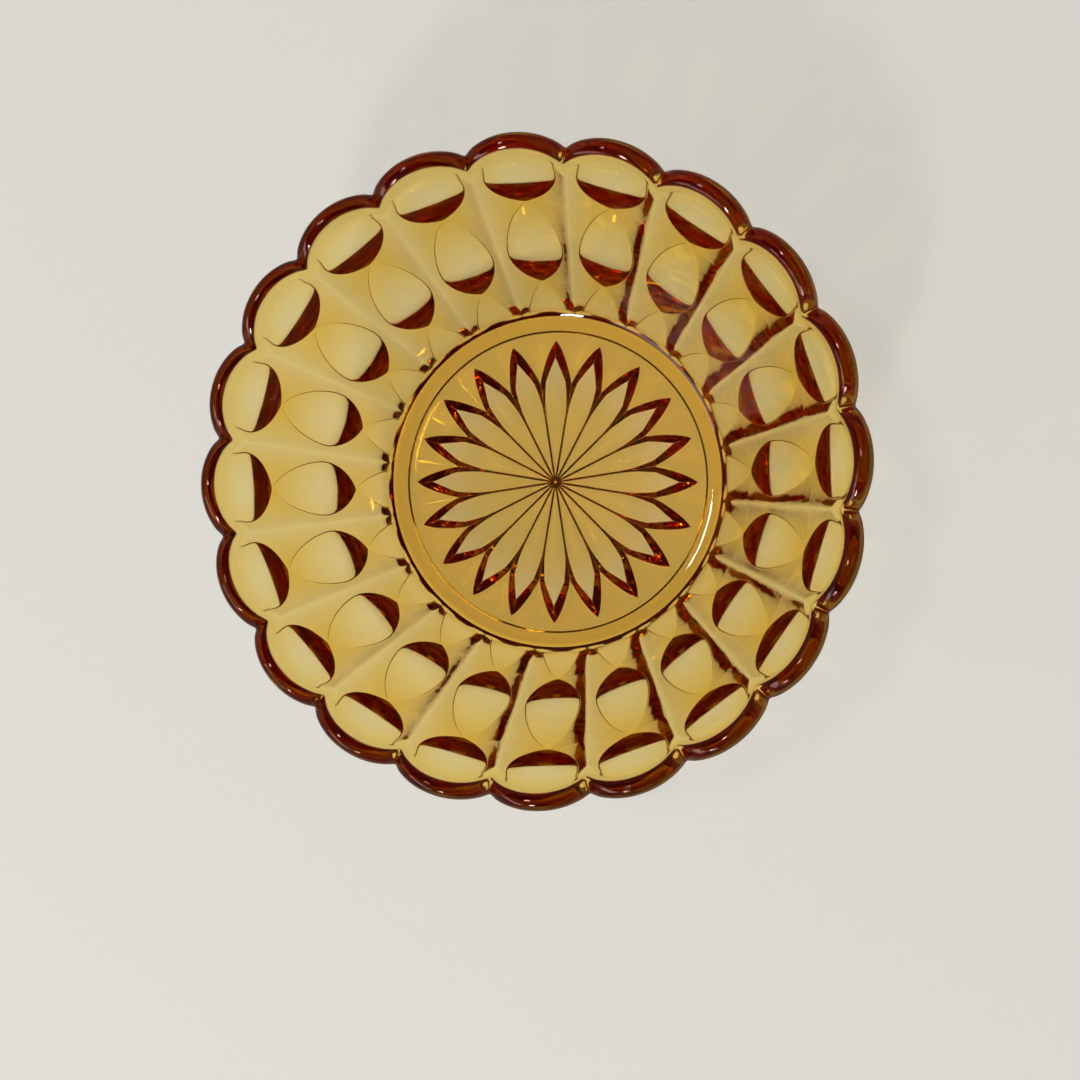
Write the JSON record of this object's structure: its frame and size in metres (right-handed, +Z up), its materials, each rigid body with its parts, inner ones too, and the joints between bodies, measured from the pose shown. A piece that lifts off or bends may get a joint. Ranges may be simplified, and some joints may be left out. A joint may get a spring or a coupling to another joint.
{
  "type": "candy dish",
  "caption": "Small round pressed amber glass dish with a scalloped rim, a cut-leaf outer wall, a flat foot ring and a rayed star under the base.",
  "frame": {"origin": "centre of the foot ring, on the plane the dish rests on", "axes": "+Z up out of the bowl along its axis; +X runs through the middle of one rim scallop"},
  "size_m": [0.1214, 0.1214, 0.0515],
  "materials": {
    "amber_glass": "clear fire-polished"
  },
  "bodies": {
    "root": {"glass_dish": "amber_glass"}
  },
  "joints": []
}
